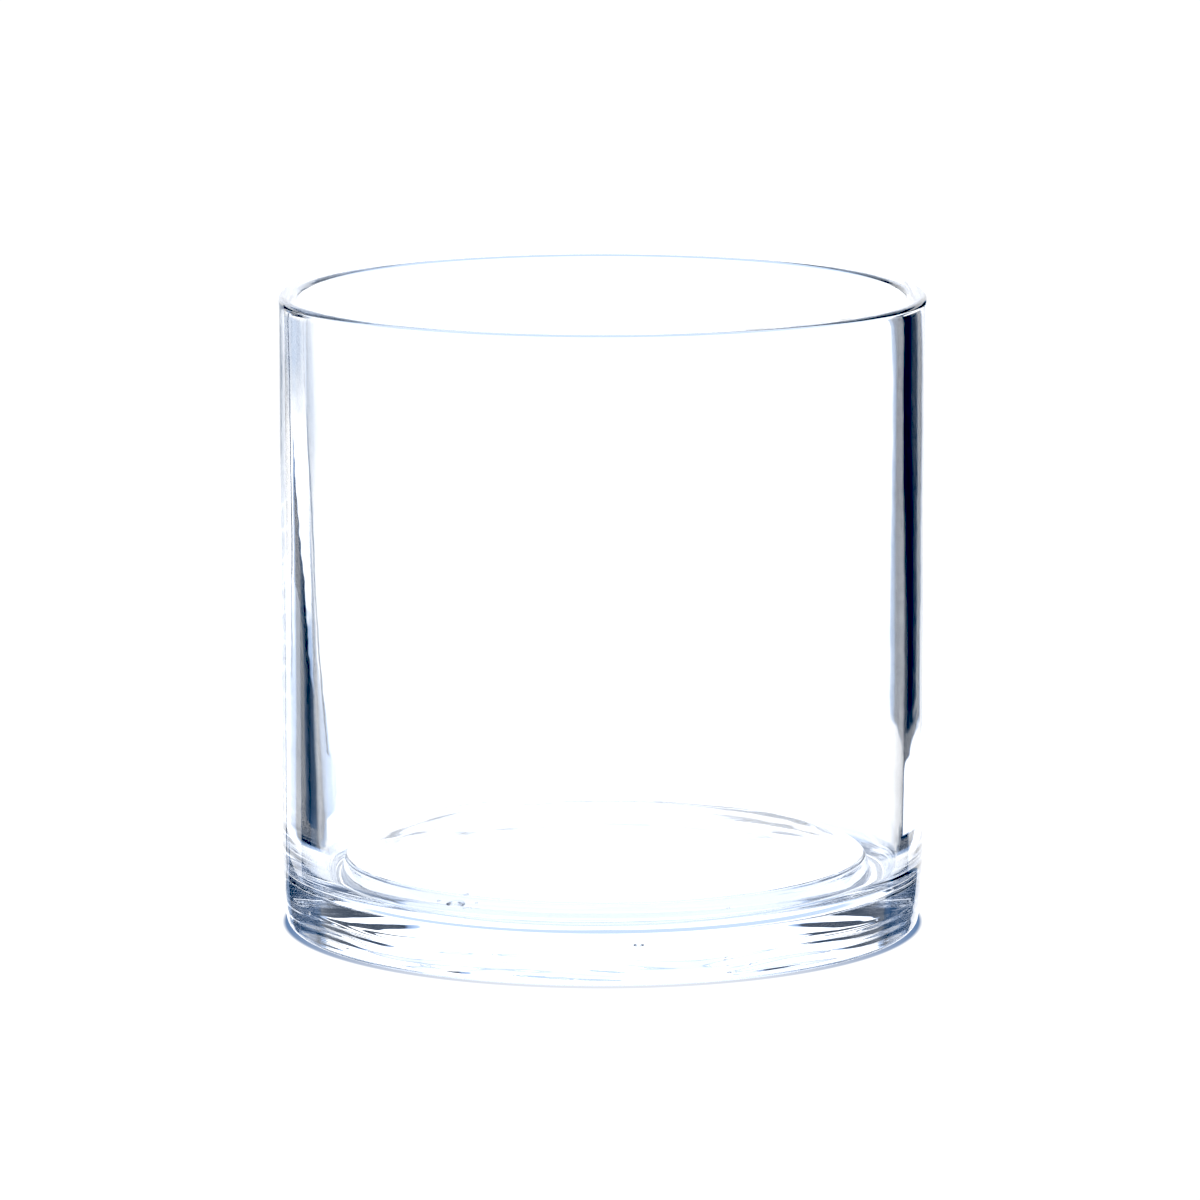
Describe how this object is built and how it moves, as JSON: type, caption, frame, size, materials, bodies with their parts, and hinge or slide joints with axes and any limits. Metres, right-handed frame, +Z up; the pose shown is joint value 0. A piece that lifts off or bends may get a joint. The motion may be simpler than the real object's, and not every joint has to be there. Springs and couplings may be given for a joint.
{
  "type": "glass cylinder vase",
  "caption": "Clear thick-walled straight cylinder vase, about as tall as it is wide, with a heavy flat base and a fire-polished rim.",
  "frame": {"origin": "centre of the foot ring, on the surface that the vase stands on", "axes": "+Z up along the axis of the cylinder; the vase is round, so X and Y have no front"},
  "size_m": [0.127, 0.127, 0.125],
  "materials": {
    "glass": "clear soda-lime glass with a faint cool tint, polished"
  },
  "bodies": {
    "root": {"vase_body": "glass"}
  },
  "joints": []
}
